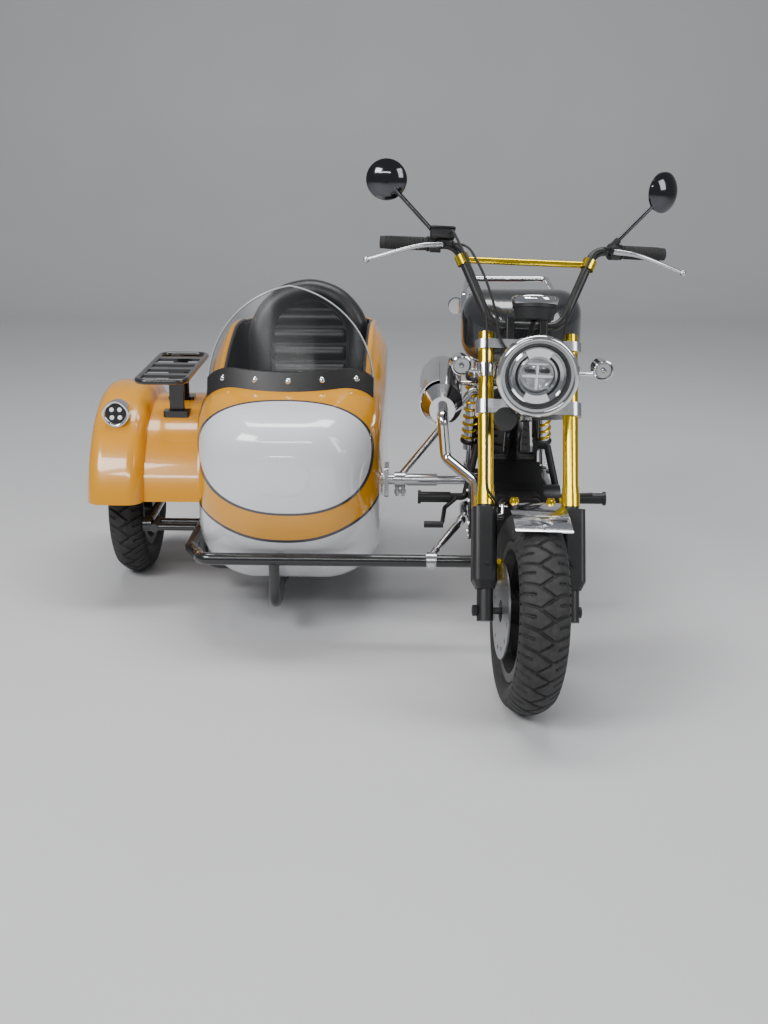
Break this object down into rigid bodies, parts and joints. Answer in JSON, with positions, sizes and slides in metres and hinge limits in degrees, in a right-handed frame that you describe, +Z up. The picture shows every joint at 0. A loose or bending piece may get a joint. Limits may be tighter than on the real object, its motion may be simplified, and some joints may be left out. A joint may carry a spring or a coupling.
{
  "type": "sidecar motorcycle",
  "caption": "Small retro motorcycle with a single-seat sidecar on its right, with turning steering, spinning wheels and a folding side stand.",
  "frame": {"origin": "on the floor, in the middle of the whole outfit's outer box", "axes": "+X to the motorcycle's left, +Y rearwards, +Z up"},
  "size_m": [1.5543, 1.7083, 1.2234],
  "materials": {
    "aluminium": "satin cast aluminium",
    "black_cast": "satin black paint on cast metal",
    "black_paint": "gloss black paint",
    "black_plastic": "black plastic",
    "chrome": "polished chrome",
    "dark_paint": "gloss dark grey paint",
    "gold": "gold anodised",
    "lens_clear": "clear lamp glass",
    "lens_red": "red lens",
    "orange_paint": "gloss orange paint",
    "rubber": "black rubber",
    "screen": "smoked clear plastic",
    "seat_skin": "black vinyl",
    "steel": "bare steel",
    "tyre": "matte moulded rubber",
    "white_paint": "gloss white paint"
  },
  "bodies": {
    "outfit": {"bike_frame": "black_paint", "chain": "steel", "cylinder": "aluminium", "cylinder_head": "aluminium", "engine": "aluminium", "exhaust_pipe": "chrome", "foot_controls": "steel", "fuel_tank": "dark_paint", "grab_rail": "chrome", "heat_shield": "chrome", "link_struts": "steel", "luggage_rack": "black_paint", "mudguard": "orange_paint", "muffler": "chrome", "rear_fender": "black_plastic", "rear_shocks": "chrome", "rear_signals": "chrome", "seat": "seat_skin", "seat_base": "black_plastic", "side_panels": "dark_paint", "sidecar_arm": "black_paint", "sidecar_backrest": "seat_skin", "sidecar_belly": "white_paint", "sidecar_body": "orange_paint", "sidecar_chassis": "black_paint", "sidecar_cushion": "seat_skin", "sidecar_lamps": "chrome", "swingarm": "black_paint", "tail_lamp": "lens_red", "windscreen": "screen", "windscreen_strip": "black_plastic"},
    "steering": {"fork_tubes": "gold", "fork_lowers": "black_cast", "fork_yokes": "aluminium", "handlebar": "chrome", "crossbar": "gold", "grips": "rubber", "lever_sets": "aluminium", "mirrors": "chrome", "headlight": "chrome", "headlight_lens": "lens_clear", "meter": "chrome", "front_signals": "chrome", "horn": "black_plastic", "front_fender": "chrome", "brake_caliper": "gold", "control_cables": "rubber"},
    "front_wheel": {"front_tyre": "tyre", "front_rim": "black_cast", "front_disc": "steel"},
    "rear_wheel": {"rear_tyre": "tyre", "rear_rim": "black_cast", "rear_sprocket": "steel"},
    "side_wheel": {"side_tyre": "tyre", "side_rim": "black_cast"},
    "stand": {"side_stand": "black_paint"}
  },
  "joints": [
    {"name": "steering_turn", "type": "hinge", "parent": "outfit", "child": "steering", "pos_m": [0.391, -0.57936, 0.23511], "axis": [0, 0.4226, 0.9063], "range_deg": [-42, 28]},
    {"name": "front_wheel_spin", "type": "hinge", "parent": "steering", "child": "front_wheel", "pos_m": [0.39472, -0.61239, 0.2359], "axis": [0.9925, 0.1105, -0.0515], "continuous": true},
    {"name": "rear_wheel_spin", "type": "hinge", "parent": "outfit", "child": "rear_wheel", "pos_m": [0.391, 0.538, 0.256], "axis": [1, 0, 0], "continuous": true},
    {"name": "side_wheel_spin", "type": "hinge", "parent": "outfit", "child": "side_wheel", "pos_m": [-0.699, 0.351, 0.215], "axis": [1, 0, 0], "continuous": true},
    {"name": "stand_swing", "type": "hinge", "parent": "outfit", "child": "stand", "pos_m": [0.49, 0.163, 0.214], "axis": [-1, 0, 0], "range_deg": [0, 70]}
  ]
}
